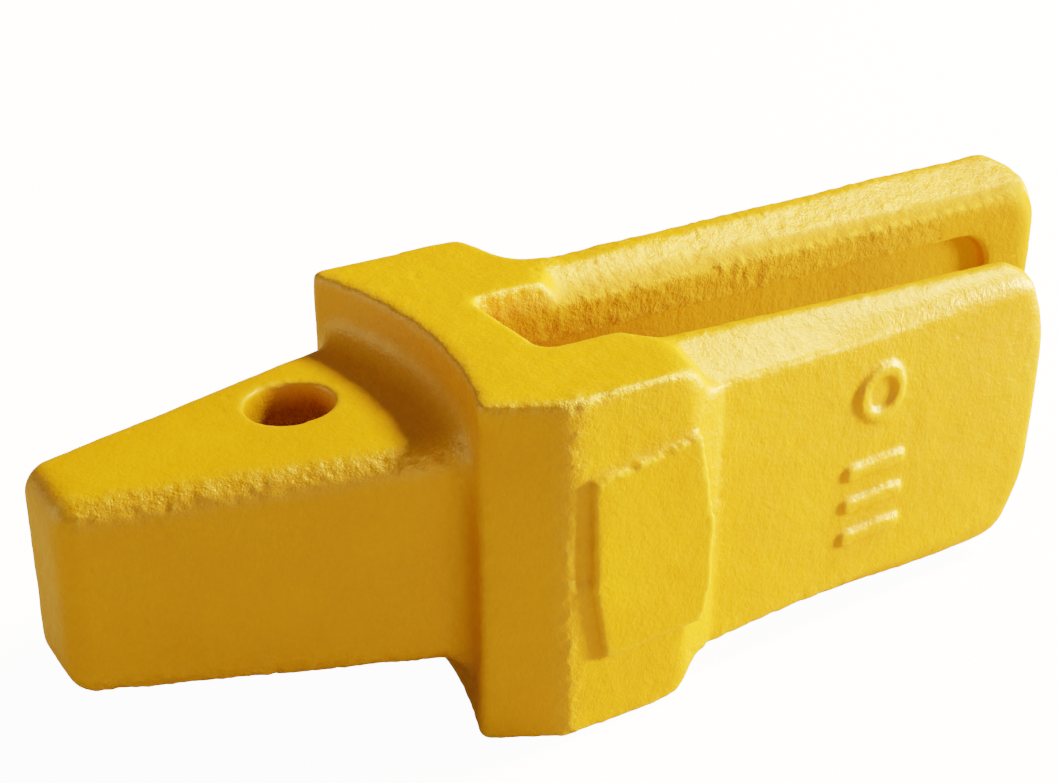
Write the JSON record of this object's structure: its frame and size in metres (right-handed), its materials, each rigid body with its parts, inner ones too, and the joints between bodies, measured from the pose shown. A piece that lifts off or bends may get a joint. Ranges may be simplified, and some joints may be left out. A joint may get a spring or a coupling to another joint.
{
  "type": "excavator bucket tooth adapter",
  "caption": "Weld-on two-leg adapter that holds a digging tooth: tapered nose with side-pin bore, shoulder, and a short and a long leg either side of a lip slot.",
  "frame": {"origin": "middle of the side-pin bore, halfway through the nose", "axes": "+X from the nose tip to the ends of the legs, along the bucket lip's way into the slot; +Z along the pin bore; +Y from the short leg to the long leg, across the slot. The part is stored lying on one side of its shoulder."},
  "size_m": [0.3915, 0.1261, 0.112],
  "materials": {
    "yellow_paint": "satin"
  },
  "bodies": {
    "root": {"nose": "yellow_paint", "shoulder_block": "yellow_paint", "short_leg": "yellow_paint", "long_leg": "yellow_paint", "side_pad": "yellow_paint", "cast_mark": "yellow_paint"}
  },
  "joints": []
}
